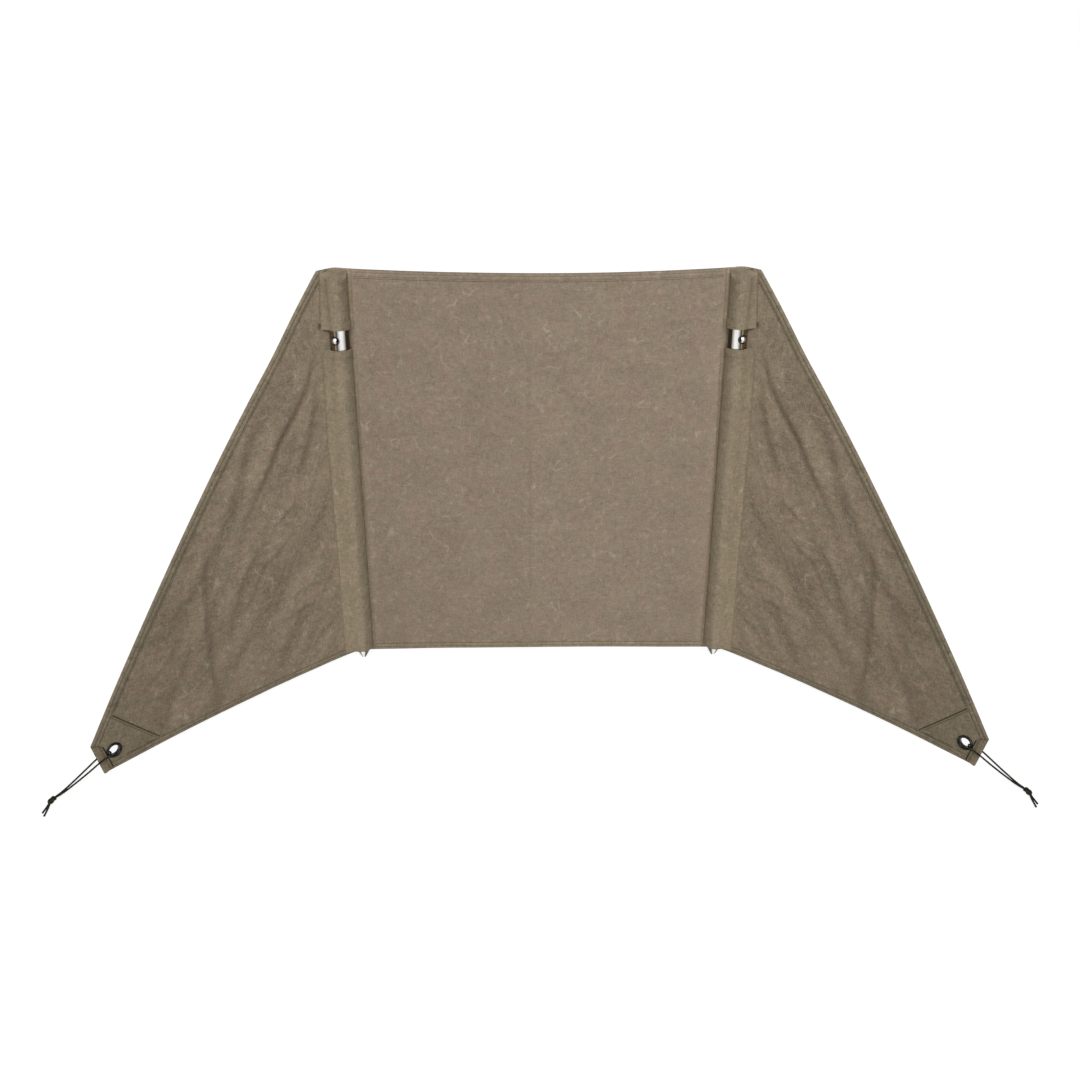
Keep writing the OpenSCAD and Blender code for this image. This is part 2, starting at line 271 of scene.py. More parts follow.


# Stainless steel, drawn and polished: mirror bright, with fine lines along its length. Its colour carries
# painted reflections and a painted highlight, in bands that go by the angle round the pole's axis
def polishedSteel(name, axis, sign, paintedBands, rounded=False):
    material, tree, shader = newMaterial(name)
    place = objectPlace(tree)
    drawn = mapped(tree, place, {"Scale": (1000 / 0.7, 1000 / 0.7, 1000 / 40.0)})
    lines = noiseOf(tree, drawn, None, 3.0)
    smear = noiseOf(tree, place, 9.0, 3.0)
    spoke = vectorSums(tree, "SUBTRACT", {0: place, 1: (*axis, 0.0)})
    spoke = vectorSums(tree, "MULTIPLY", {0: spoke, 1: (1.0, 1.0, 0.0)})
    spoke = vectorSums(tree, "NORMALIZE", {0: spoke})
    aside = addNode(tree, "ShaderNodeSeparateXYZ", {0: spoke}).outputs["X"]
    ramp = addNode(tree, "ShaderNodeValToRGB", {"Fac": ranged(tree, aside, sign, -sign)})
    stops = ramp.color_ramp.elements
    for stop in paintedBands[2:]:
        stops.new(stop[0])
    for stop, (spot, shade) in zip(stops, sorted(paintedBands)):
        stop.position, stop.color = spot, tint(shade)
    gloss = sums(tree, "MULTIPLY", lines, smear)
    bump = addBump(tree, shader, lines, 0.08, 0.00005)
    if rounded:
        tree.links.new(spoke, bump.inputs["Normal"])
    plug(tree, shader, {"Base Color": mixed(tree, smear, ramp.outputs["Color"], "#d9d8d6", "MULTIPLY"),
                        "Roughness": ranged(tree, gloss, high=0.5, first=0.06, last=0.2),
                        "Metallic": 1.0})
    return material


# Brass eyelet with gunmetal plating, pressed and tumbled: near black, satin, with paler rubbed spots
def gunmetal(name):
    material, tree, shader = newMaterial(name)
    place = objectPlace(tree)
    rub = noiseOf(tree, place, 5.0, 4.0, 0.7)
    addBump(tree, shader, noiseOf(tree, place, 0.8, 2.0), 0.15, 0.0001)
    plug(tree, shader, {"Base Color": mixed(tree, ranged(tree, rub, 0.5, 0.75), "#211f1d", "#4f4a43"),
                        "Roughness": ranged(tree, rub, first=0.22, last=0.4),
                        "Metallic": 1.0})
    return material


# Braided polyester cord, dark olive with black tracers: a soft sheen broken into small slanted flecks
def braidedCord(name):
    material, tree, shader = newMaterial(name)
    flat = attribute(tree, "flat", "Vector")
    slanted = mapped(tree, flat, {"Rotation": (0.0, 0.0, math.radians(45))})
    flecks = addNode(tree, "ShaderNodeTexChecker", {"Vector": slanted, "Scale": 1000 / 1.1}).outputs["Fac"]
    stray = ranged(tree, noiseOf(tree, flat, 2.5, 2.0), 0.44, 0.56)
    both = sums(tree, "MULTIPLY", flecks, stray)
    olive = mixed(tree, stray, "#121109", "#4b4938")
    addBump(tree, shader, flecks, 0.4, 0.0002)
    plug(tree, shader, {"Base Color": mixed(tree, both, olive, "#080806"), "Roughness": 0.7,
                        "Specular IOR Level": 0.12})
    return material


# Canvas colours: pale, dark, olive and scuffed
canvas = waxedCanvas("waxedCottonCanvas", "#a99482", "#7f7162", "#a39681", "#c3b5a0")
wingCanvas = waxedCanvas("waxedWingCanvas", "#b09b86", "#736757", "#a99c83", "#c6b8a1",
                         scuffed=1.2, streaked=0.48)
sleeveCanvas = waxedCanvas("waxedSleeveCanvas", "#ae9c85", "#7b6f5d", "#a89c82", "#c6b8a0")
hemCanvas = waxedCanvas("waxedHemCanvas", "#a99a83", "#726857", "#a59a80", "#bfb299")
patchCanvas = waxedCanvas("waxedPatchCanvas", "#a69880", "#6f6553", "#a2967c", "#bdb098")
thread = sewingThread("spunSewingThread", "#75685a", "#544838")
paleThread = sewingThread("waxedSewingThread", "#988b76", "#7b6f5d")

# Painted reflections across a pole, its tip and its button, from the outer side to the middle panel, ends
# first. On the tube: dark edges, a band as pale as the hems, a dark line, bare metal, and a darker band. On
# the tip and the button: a painted highlight between dark sides
tubePaintedReflection = [(0.0, "#4a4238"), (1.0, "#4a4238"), (0.17, "#a99a83"), (0.3, "#a99a83"), (0.42, "#3a332a"),
            (0.58, "#fafafa"), (0.7, "#fafafa"), (0.84, "#726857")]
tipPaintedHighlight = [(0.0, "#2a261f"), (1.0, "#2a261f"), (0.27, "#4a4438"), (0.4, "#fafafa"), (0.6, "#fafafa"),
           (0.73, "#4a4438")]
buttonPaintedHighlight = [(0.0, "#1d1914"), (1.0, "#1d1914"), (0.19, "#221d17"), (0.25, "#f6f6f6"), (0.37, "#fbfbfb"),
             (0.43, "#221d17")]
steels = {}
for side, sign in sides.items():
    poleAxis = (sign * screen["halfGap"] * mm, screen["poleY"] * mm)
    steels[side] = {"pole": polishedSteel(side + "SteelTubePaintedReflection", poleAxis, sign, tubePaintedReflection, rounded=True),
                    "pole_tip": polishedSteel(side + "SteelTipPaintedHighlight", poleAxis, sign, tipPaintedHighlight),
                    "button": polishedSteel(side + "SteelButtonPaintedHighlight", poleAxis, sign, buttonPaintedHighlight)}
eyeletMetal = gunmetal("gunmetalPlatedBrass")
cordBraid = braidedCord("braidedPolyesterCord")
print("materials made")


# Modelling helpers. Pieces are drawn flat, in mm, and then hung in place

sharpTurn = {"shading": 42.0, "bevel": 55.0}  # degrees beyond which an edge is sharp
holeRim = {"clear": 0.4, "pull": 6.0}  # mm from a hole within which faces go and edges are drawn round


def gridSheet(columns, rows):
    bm = bmesh.new()
    bmesh.ops.create_grid(bm, x_segments=columns, y_segments=rows, size=1.0)
    return bm, [((v.co.x + 1) / 2, (v.co.y + 1) / 2) for v in bm.verts]


def clothLayers(bm):
    return (bm.verts.layers.float_vector.new("flat"), bm.verts.layers.float.new("seam"),
            bm.verts.layers.float.new("paintedLightAndMottle"))


# A closed bar of one profile: place(profile point, share of the length) gives each vertex
def sweptBar(profile, rows, place, wrap=None):
    count = len(profile)
    bm, spots = gridSheet(count, rows)
    flat, seam, paintedLightAndMottle = clothLayers(bm)
    for vert, (across, along) in zip(bm.verts, spots):
        i = round(across * count) % count
        vert.co = place(profile[i], along)
        vert[flat] = wrap(across, along) if wrap else vert.co
        vert[seam] = profile[i][2] if len(profile[i]) > 2 else 0.0
    bmesh.ops.remove_doubles(bm, verts=bm.verts[:], dist=1e-4)
    bmesh.ops.holes_fill(bm, edges=[e for e in bm.edges if e.is_boundary], sides=0)
    bmesh.ops.recalc_face_normals(bm, faces=bm.faces[:])
    return bm


def cutAlong(bm, a, b):  # trims what lies right of the line from a to b
    side = Vector((b[1] - a[1], a[0] - b[0], 0.0)).normalized()
    bmesh.ops.bisect_plane(bm, geom=bm.verts[:] + bm.edges[:] + bm.faces[:], dist=1e-4,
                           plane_co=(a[0], a[1], 0.0), plane_no=side, clear_outer=True)


def flatSheet(low, high, step):
    bm, spots = gridSheet(round((high[0] - low[0]) / step), round((high[1] - low[1]) / step))
    for vert, (across, up) in zip(bm.verts, spots):
        vert.co = (low[0] + (high[0] - low[0]) * across, low[1] + (high[1] - low[1]) * up, 0.0)
    return bm


def roundHole(bm, centre, radius):
    middle = Vector((centre[0], centre[1], 0.0))
    inside = [f for f in bm.faces if (f.calc_center_median() - middle).length < radius + holeRim["clear"]]
    bmesh.ops.delete(bm, geom=inside, context="FACES")
    for vert in bm.verts:
        away = Vector((vert.co.x, vert.co.y, 0.0)) - middle
        if vert.is_boundary and away.length < radius + holeRim["pull"]:
            away.length = radius
            vert.co.x, vert.co.y = middle.x + away.x, middle.y + away.y


def makePiece(bm, name, material, mirrored=False):
    if mirrored:
        bmesh.ops.scale(bm, vec=(-1, 1, 1), verts=bm.verts[:])
        bmesh.ops.reverse_faces(bm, faces=bm.faces[:])
    mesh = bpy.data.meshes.new(name)
    bm.to_mesh(mesh)
    bm.free()
    mesh.shade_smooth()
    mesh.set_sharp_from_angle(angle=math.radians(sharpTurn["shading"]))
    mesh.materials.append(material)
    piece = bpy.data.objects.new(name, mesh)
    scene.collection.objects.link(piece)
    return piece


def makePair(bm, stem, material):
    twin = bm.copy()
    return {"left": makePiece(bm, "left_" + stem, material),
            "right": makePiece(twin, "right_" + stem, material, mirrored=True)}


def joinMeshes(parts):
    whole = parts[0]
    for part in parts[1:]:
        spare = bpy.data.meshes.new("spare")
        part.to_mesh(spare)
        part.free()
        whole.from_mesh(spare)
        bpy.data.meshes.remove(spare)
    return whole


def thicken(piece, thick, edge=0.0):
    wall = piece.modifiers.new("thickness", "SOLIDIFY")
    wall.thickness, wall.offset = thick * mm, 0.0
    if edge:
        rim = piece.modifiers.new("roundedEdge", "BEVEL")
        rim.width, rim.segments, rim.limit_method = edge * mm, 2, "ANGLE"
        rim.angle_limit = math.radians(sharpTurn["bevel"])


# How the canvas hangs

wingCut = {
    "corner": (15.0, 498.0),     # upper end of the sloping edge, as reach and height
    "tipHigh": (359.0, 40.0),
    "tipLow": (350.0, 0.0),
    "edgeBow": (9.0, 90.0),      # how far the sloping edge bows out, and how far in that dies away
    "edgeDip": (2.0, 0.19, 0.08),  # depth of a dip in the sloping edge, and its place and width along it
    "lowBow": (5.0, 60.0),
    "box": (-2.0, 362.0),        # lowest and furthest point of the sheet before it is cut
    "step": 2.5,
    "lap": 5.0,                  # how far the wing runs on under the edge of the middle panel
    "eyelet": (334.74, 24.45),
    "eyeletHole": 6.9,
}
corner, tipHigh, tipLow = (Vector(wingCut[key]) for key in ("corner", "tipHigh", "tipLow"))
lowCorner = Vector((0.0, screen["low"]))
slopeDir = (tipHigh - corner).normalized()
slopeOut = Vector((-slopeDir.y, slopeDir.x))
cutDir = (tipHigh - tipLow).normalized()
cutIn = Vector((-cutDir.y, cutDir.x))
lowDir = (tipLow - lowCorner).normalized()
lowIn = Vector((-lowDir.y, lowDir.x))

# Folds pulled into a wing between the pole and the pegged tip: crest height in mm (minus is to the
# front), width, and the run of the shaded side as reach and height
wingFolds = [
    (-2.8, 9.0, [(14, 414), (31, 390), (41, 368), (51, 353), (61, 340), (81, 315), (95, 289), (113, 265),
                 (132, 242)]),
    (-2.6, 12.0, [(77, 400), (98, 366), (121, 313), (131, 288), (158, 239), (180, 207), (211, 174),
                  (242, 142), (263, 122)]),
    (-0.8, 3.0, [(63, 241), (74, 231), (89, 222), (103, 212)]),
    (-0.7, 3.0, [(22, 174), (28, 169), (38, 159), (46, 150)]),
    (-0.9, 4.0, [(18, 69), (32, 62), (44, 54), (58, 49)]),
    (-1.8, 8.0, [(189, 232), (191, 202), (200, 133), (203, 68), (203, -20)]),
    (-1.0, 6.0, [(77, 199), (95, 184), (120, 171), (137, 144), (149, 120)]),
    (-1.0, 7.0, [(45, 101), (79, 95), (100, 90), (126, 82)]),
    (-1.2, 7.0, [(19, 390), (30, 353), (39, 319), (52, 285), (65, 250)]),
    (-1.0, 8.0, [(116, 206), (143, 170), (162, 131), (177, 90)]),
    (-0.8, 6.0, [(28, 119), (62, 124), (95, 113)]),
    (-0.7, 5.0, [(22, 302), (34, 270), (50, 236), (58, 220)]),
    (-0.6, 4.0, [(24, 226), (38, 205), (56, 188)]),
    (-0.8, 6.0, [(227, 130), (259, 96), (297, 70)]),
]
foldForm = {
    "height": 1.15,
    "fade": 0.22,              # share of the run over which a fold starts and ends
    "crest": 0.7,              # the rest as shares of the width: where the crest is,
    "flanks": (0.8, 1.5),      # how wide its two flanks are,
    "light": 0.35,             # how wide the painted light on the crest is,
    "shade": (0.8, 0.1, 0.55),  # and how dark, how far off and how wide the painted shade on the darker flank is
    # strength of the painted light on crests and painted shade on flanks
    "paintedFoldShading": 0.07,
}
wingSway = {"broad": (1.8, 125.0), "pulled": (1.35, 150.0, 27.0), "small": (0.42, 55.0, 13.0)}
wingCalm = {                   # folds die out at the pole, and are weaker at the edges and the tip
    "pole": (15.0, 26.0),
    "slope": (0.35, 45.0),
    "low": (0.4, 2.0, 40.0),
    "tip": (344.0, 23.0, 28.0, 90.0),
}
wingPaintedFalloff = {"pole": 0.085, "loss": 0.225, "over": 440.0, "lean": 0.25}  # painted light: a lift over the whole wing, less of it towards the tip and the lower edge, where the light falls off


def besideRun(points, s, v):  # signed distance from a run of points, and the share along it
    points = [Vector(p) for p in points]
    total = sum((b - a).length for a, b in zip(points, points[1:]))
    best, signed, share = np.full(len(s), 1e9), np.zeros(len(s)), np.zeros(len(s))
    gone = 0.0
    for a, b in zip(points, points[1:]):
        step = b - a
        along = np.clip(((s - a.x) * step.x + (v - a.y) * step.y) / step.length_squared, 0, 1)
        ds, dv = s - a.x - along * step.x, v - a.y - along * step.y
        away = np.hypot(ds, dv)
        near = away < best
        best = np.where(near, away, best)
        signed = np.where(near, np.sign(-step.y * ds + step.x * dv) * away, signed)
        share = np.where(near, (gone + along * step.length) / total, share)
        gone += step.length
    return signed, share


def foldHeights(folds, s, v):  # how far folds stand out, and the painted light on their crests and painted shade on their flanks
    lift, crest = np.zeros(len(s)), np.zeros(len(s))
    for height, width, points in folds:
        signed, share = besideRun(points, s, v)
        fade = smooth(share / foldForm["fade"]) * smooth((1 - share) / foldForm["fade"])
        off = signed - foldForm["crest"] * width
        near, far = foldForm["flanks"]
        steep = np.where(off < 0, near * width, far * width)
        lift += foldForm["height"] * height * fade * np.exp(-(off / steep) ** 2)
        line = np.exp(-(off / (foldForm["light"] * width)) ** 2)
        dark, shift, wide = foldForm["shade"]
        line -= dark * np.exp(-((signed + shift * width) / (wide * width)) ** 2)
        # painted light on the crest and painted shade on the darker flank
        crest += foldForm["paintedFoldShading"] * fade * line * np.sign(-height)
    return lift, crest


def ripple(a, b, seed):
    return np.array([noise.noise(Vector((x, y, seed))) for x, y in zip(a, b)])


def wingShape(s, v):  # bowed edges, folds and sway of a wing, from its flat cut
    rel = np.stack([s - corner.x, v - corner.y], 1)
    inward = -(rel @ np.array(slopeOut))
    run = np.clip((rel @ np.array(slopeDir)) / (tipHigh - corner).length, 0, 1)
    dip, dipAt, dipWide = wingCut["edgeDip"]
    swell, reach = wingCut["edgeBow"]
    bow = swell * 4 * run * (1 - run) - dip * np.exp(-((run - dipAt) / dipWide) ** 2)
    push = bow * np.exp(-np.maximum(inward, 0) / reach)
    span = np.clip(s / tipLow.x, 0, 1)
    swell, reach = wingCut["lowBow"]
    lift = swell * 4 * span * (1 - span) * np.exp(-np.maximum(v, 0) / reach)
    rise, wide, deep = screen["bulge"]
    lift += rise * np.exp(-((s + 6) / wide) ** 2) * np.exp(-(screen["top"] - v) / deep)
    folds, crest = foldHeights(wingFolds, s, v)
    pull, cross = s * slopeDir.x + v * slopeDir.y, s * slopeOut.x + v * slopeOut.y
    size, wide = wingSway["broad"]
    sway = size * ripple(s / wide, v / wide, 2.3)
    for key, seed in (("pulled", 5.1), ("small", 9.4)):
        size, long, wide = wingSway[key]
        sway += size * ripple(pull / long, cross / wide, seed)
    start, over = wingCalm["pole"]
    calm = smooth((s - start) / over)
    least, over = wingCalm["slope"]
    calm = calm * (least + (1 - least) * smooth(inward / over))
    least, start, over = wingCalm["low"]
    calm = calm * (least + (1 - least) * smooth((v - start) / over))
    tipS, tipV, start, over = wingCalm["tip"]
    calm = calm * smooth((np.hypot(s - tipS, v - tipV) - start) / over)
    # painted shade towards the tip and lower edge, and painted light and shade on the folds
    outer = smooth((s + wingPaintedFalloff["lean"] * (screen["top"] - v)) / wingPaintedFalloff["over"])
    wornAndPaintedShade = crest * calm + wingPaintedFalloff["pole"] - wingPaintedFalloff["loss"] * outer
    return s + push * slopeOut.x, v + push * slopeOut.y + lift, (folds + sway) * calm, wornAndPaintedShade


def wingMiddle(s):  # pole axis to the middle of a wing's canvas
    settled = smooth((s + arcLength) / screen["settle"])
    return screen["ring"] + (screen["wingRing"] - screen["ring"]) * settled


def onWing(s, v, n):  # left wing, in mm: reach, height, distance behind the middle of the canvas
    radius = wingMiddle(s) + n
    angle = math.pi / 2 + foldTurn + np.minimum(s, 0) / screen["ring"]
    past = np.maximum(s, 0)
    return np.stack([-screen["halfGap"] + radius * np.cos(angle) - past * foldCos,
                     screen["poleY"] + radius * np.sin(angle) - past * foldSin, v], 1)


centreFolds = [
    (-0.55, 5.0, [(13, 500), (11, 250), (11, -5)]),
    (-0.35, 2.5, [(150, 84), (60, 82), (-110, 79)]),
    (-0.3, 2.5, [(-30, 61), (-90, 59), (-150, 60)]),
    (-0.3, 3.0, [(130, 178), (0, 176), (-110, 173)]),
    (-0.4, 4.0, [(-150, 430), (-164, 300), (-150, 180)]),
    (-0.4, 5.0, [(185, 380), (170, 300), (178, 200)]),
]
centreCut = {
    "step": 3.0,
    "topSag": (6.5, 160.0),    # sag of the top edge and lift of the lower one, and how far in they die away
    "lowSag": (2.0, 60.0),
    "sway": (1.1, 130.0),
    "small": (0.28, 34.0),
    "calm": (18.0, 60.0),      # no folds beside the poles
}
centrePaintedLight = {
    "crease": (11.0, 6.0),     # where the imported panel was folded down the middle, and how softly
    "right": (0.035, 40.0),    # painted light right of it and painted shade left of it, as the fold's two sides take the light, and how far
    "left": (0.03, 26.0),
    "paintedSeamShading": (0.26, 14.0, 5.0),  # painted light beside the seams, where the strips would shade the panel
    # painted light: level lifts the whole panel, lean makes it lighter to the right and darker to the left
    "level": 0.04,
    "lean": 0.05,
    "low": (0.06, 0.1, 1.5),   # painted shade, darker towards the lower edge and most at its corners
}


def centreShape(s, v):  # the middle panel's flat cut runs to the left, so that s is -x
    half = screen["halfGap"]
    inward = half - np.abs(s)
    share = np.clip(inward / half, 0, 1)
    bow = share * (2 - share)
    above, under = screen["top"] - v, v - screen["low"]
    sag, reach = centreCut["topSag"]
    move = -sag * bow * np.exp(-above / reach)
    sag, reach = centreCut["lowSag"]
    move += sag * bow * np.exp(-under / reach)
    rise, wide, deep = screen["bulge"]
    move += rise * np.exp(-(inward / wide) ** 2) * np.exp(-above / deep)
    folds, crest = foldHeights(centreFolds, s, v)
    sway = np.zeros(len(s))
    for key, seed in (("sway", 7.7), ("small", 1.2)):
        size, wide = centreCut[key]
        sway += size * ripple(s / wide, v / wide, seed)
    start, over = centreCut["calm"]
    calm = smooth((inward - start) / over)
    # painted light and shade: on fold crests and flanks, either side of the middle fold, beside the seams,
    # and across and down the panel
    wornAndPaintedShade = crest * calm
    crease, soft = centrePaintedLight["crease"]
    for key, sign in (("right", 1), ("left", -1)):
        shade, reach = centrePaintedLight[key]
        away = sign * (crease - s)
        wornAndPaintedShade += sign * shade * (smooth(away / soft) * np.exp(-np.maximum(away, 0) / reach))
    pale, start, reach = centrePaintedLight["paintedSeamShading"]
    wornAndPaintedShade += pale * np.exp(-np.maximum(inward - start, 0) / reach)
    drop, aside = np.clip(above / (screen["top"] - screen["low"]), 0, 1), np.clip(s / half, -1, 1)
    level, corners, late = centrePaintedLight["low"]
    wornAndPaintedShade += centrePaintedLight["level"] - centrePaintedLight["lean"] * aside - drop ** late * (level + corners * aside ** 2)
    return v + move, (folds + sway) * calm, wornAndPaintedShade


def hang(bm, part):  # moves a piece drawn flat to where the canvas hangs
    flat = bm.verts.layers.float_vector.get("flat") or bm.verts.layers.float_vector.new("flat")
    paintedLightAndMottle = bm.verts.layers.float.get("paintedLightAndMottle") or bm.verts.layers.float.new("paintedLightAndMottle")
    s, v, n = np.array([vert.co for vert in bm.verts]).T
    if part == "wing":
        moved, up, back, wornAndPaintedShade = wingShape(s, v)
        world = onWing(moved, up, n + back)
    else:
        up, back, wornAndPaintedShade = centreShape(s, v)
        world = np.stack([-s, screen["poleY"] + screen["ring"] + n + back, up], 1)
    # painted light and shade from the shape go on the mesh with the flat place
    for vert, place, shade in zip(bm.verts, world * mm, wornAndPaintedShade):
        vert[flat] = vert.co * mm
        vert[paintedLightAndMottle] = shade
        vert.co = place
    return bm


# Cords: the routes are part.scad's, as reach, distance behind the pole axis and height

cordLook = {
    "thick": 2.0,
    "sides": 18,
    "row": 0.45,
    "braid": (4, 9.0, 0.07),   # strands each way, mm for one turn, relief as a share of the radius
    "seal": (2.0, 1.12, 0.9),  # melted end: its length, how much thicker it is, and its rounding
    "front": [(338.7, 12.6, 22.9), (340.1, 9.8, 22.6), (342, 8.6, 22.2), (344.6, 8.4, 21.7),
              (348.5, 8.6, 20.7), (355.5, 8.6, 18.4), (369.5, 8.1, 13.4), (385.5, 7.1, 8.8),
              (400.5, 6, 5.4), (413.5, 5, 4), (421.5, 0.8, 1.8), (429.5, -5, 1.3)],
    "back": [(338.7, 12.6, 22.9), (339.8, 15.7, 22.7), (343.4, 16.9, 22.4), (349, 16.3, 21.4),
             (356.5, 15.2, 19.4), (370.5, 12.6, 15), (386.5, 9.6, 10.2), (400.5, 7.2, 6.4), (413.5, 5, 4),
             (422.5, -3, 1.8), (430.5, -11, 1.3)],
    "knot": (413.5, 5, 4),
    "knotWay": ((400.5, 6, 5.4), (429.5, -5, 1.3)),
    "knotRing": 2.25,
    "knotTube": 1.05,
    "knotPull": (1.4, 0.9, 1.15),  # drawn out along the cord, across it and up
    "knotRows": 96,
}


def besidePole(s, n, z):  # left wing's straight run, in mm
    return Vector((-screen["halfGap"] - s * foldCos - n * foldSin,
                   screen["poleY"] - s * foldSin + n * foldCos, z))


def smoothRun(points, step):
    line = []
    for i in range(len(points) - 1):
        p0, p1, p2, p3 = (points[min(max(k, 0), len(points) - 1)] for k in (i - 1, i, i + 1, i + 2))
        count = max(2, round((p2 - p1).length / step))
        for k in range(count):
            f = k / count
            line.append(p1 + ((p2 - p0) * f + (2 * p0 - 5 * p1 + 4 * p2 - p3) * f ** 2
                              + (3 * p1 - p0 - 3 * p2 + p3) * f ** 3) / 2)
    return line + [points[-1]]


def cordTube(line, closed=False):  # a braided tube along a run of points, in mm
    last = len(line) - 1
    ahead = [(line[(i + 1) % last if closed else min(i + 1, last)]
              - line[(i - 1) % last if closed else max(i - 1, 0)]).normalized() for i in range(len(line))]
    side = ahead[0].orthogonal().normalized()
    frames, gone = [], [0.0]
    for i, way in enumerate(ahead):
        side = (side - way * side.dot(way)).normalized()
        frames.append((side.copy(), way.cross(side)))
        if i:
            gone.append(gone[-1] + (line[i] - line[i - 1]).length)
    strands, turn, relief = cordLook["braid"]
    sealed, thicker, rounding = cordLook["seal"]
    radius, length = cordLook["thick"] / 2, gone[-1]
    profile = [(2 * math.pi * k / cordLook["sides"],) for k in range(cordLook["sides"])]

    def place(spot, along):
        i = round(along * last)
        twist = 2 * math.pi * gone[i] / turn
        weave = max(math.cos(strands * (spot[0] + twist)), math.cos(strands * (spot[0] - twist)))
        size = radius * (1 + relief * (weave - 0.5))
        if not closed:
            end = length - gone[i]
            size *= thicker if end < sealed else 1.0
            size *= math.sqrt(max(1 - (1 - min(end / rounding, 1)) ** 2, 0.02))
        out, up = frames[i]
        return line[i] + (out * math.cos(spot[0]) + up * math.sin(spot[0])) * size

    def wrap(across, along):
        return Vector((across * 2 * math.pi * radius, gone[round(along * last)], 0.0)) * mm

    bm = sweptBar(profile, last, place, wrap)
    bmesh.ops.scale(bm, vec=(mm, mm, mm), verts=bm.verts[:])
    return bm


def knotRun():  # a trefoil drawn tight, lying across the cord's way
    ring, tube = cordLook["knotRing"], cordLook["knotTube"]
    long, wide, high = cordLook["knotPull"]
    middle = besidePole(*cordLook["knot"])
    first, last = (besidePole(*spot) for spot in cordLook["knotWay"])
    way = (last - first).normalized()
    side = way.cross(Vector((0, 0, 1))).normalized()
    up = side.cross(way)
    run = []
    for k in range(cordLook["knotRows"] + 1):
        a = 2 * math.pi * k / cordLook["knotRows"]
        reach = ring + tube * math.cos(3 * a)
        run.append(middle + way * (long * reach * math.cos(2 * a)) + side * (wide * reach * math.sin(2 * a))
                   + up * (high * tube * math.sin(3 * a)))
    return run


knots = makePair(cordTube(knotRun(), closed=True), "cord_knot", cordBraid)
for side, knot in knots.items():
    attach(knot, side + "_side")
    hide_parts(side + "_knot")
for strand in ("front", "back"):
    line = smoothRun([besidePole(*point) for point in cordLook[strand]], cordLook["row"])
    long = sum((b - a).length for a, b in zip(line, line[1:])) * mm
    for side, cord in makePair(cordTube(line), "cord_" + strand + "_braid", cordBraid).items():
        path = [(-sides[side] * p.x * mm, p.y * mm, p.z * mm) for p in line]
        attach(cord, side + "_side")
        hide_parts(side + "_cord_" + strand)
        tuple(path[0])
    print("cord", strand, "made,", round(long * 1000), "mm")


# The canvas panels

def wingSheet():
    lowest, furthest = wingCut["box"]
    bm = flatSheet((-arcLength - wingCut["lap"], lowest), (furthest, screen["top"]), wingCut["step"])
    cutAlong(bm, lowCorner, tipLow)
    cutAlong(bm, tipLow, tipHigh)
    cutAlong(bm, tipHigh, corner)
    bmesh.ops.dissolve_degenerate(bm, dist=0.05, edges=bm.edges[:])
    roundHole(bm, wingCut["eyelet"], wingCut["eyeletHole"])
    return hang(bm, "wing")


def centreSheet():
    half = screen["halfGap"]
    return hang(flatSheet((-half, screen["low"]), (half, screen["top"]), centreCut["step"]), "centre")


# Folded hems: each is a closed roll of canvas over the edge, as distance in from the edge,
# distance behind the canvas and how much its seam is darkened
hemFold = [
    (10.0, -0.5, 0.1), (9.9, -1.2, 0.35), (9.4, -1.45, 0.1), (8.95, -1.46, 0.3), (8.4, -1.2, 1.0),
    (7.85, -1.46, 0.3), (7.3, -1.55, 0.0), (4.6, -1.6, 0.0), (4.25, -1.5, 0.3), (3.8, -1.25, 0.9),
    (3.35, -1.5, 0.3), (2.8, -1.56, 0.0), (1.3, -1.5, 0.0), (0.5, -1.2, 0.2), (0.05, -0.6, 0.5),
    (0.1, 0.15, 0.4), (0.6, 0.6, 0.2), (1.6, 0.75, 0.0), (3.35, 0.76, 0.2), (3.8, 0.62, 0.9),
    (4.25, 0.76, 0.2), (7.9, 0.76, 0.2), (8.4, 0.62, 0.9), (8.9, 0.76, 0.2), (9.9, 0.72, 0.0),
    (10.4, 0.4, 0.0),
]
# How dark each hem's outer seam, inner seam and edge show
hemRows = {"slope": (0.75, 0.75, 0.75), "low": (0.6, 1.0, 0.6), "top": (0.0, 0.1, 1.4),
           "foot": (0.45, 0.85, 0.45)}
hemParts = (2.0, 6.0)  # how far in the edge ends and the inner seam starts
hemEnds = {"top": 205.0, "foot": 210.0, "pole": 9.0, "step": 3.0}


def hemRoll(a, b, inward, rows, part, shears=(0.0, 0.0)):
    a, b, inward = Vector(a), Vector(b), Vector(inward)
    long, way = (b - a).length, (b - a).normalized()

    def place(spot, along):
        first, last = shears[0] * spot[0], long + shears[1] * spot[0]
        at = a + way * (first + (last - first) * along) + inward * spot[0]
        return Vector((at.x, at.y, spot[1]))

    profile = []
    edge, inner = hemParts
    for deep, behind, dark in hemFold:
        row = 2 if deep < edge else 1 if deep > inner else 0
        profile.append((deep, behind, dark * rows[row]))
    return hang(sweptBar(profile, round(long / hemEnds["step"]), place), part)


def mitre(inward, way):  # how a hem's end leans, so that it ends at the cut tip
    return inward.dot(cutIn) / -way.dot(cutIn)


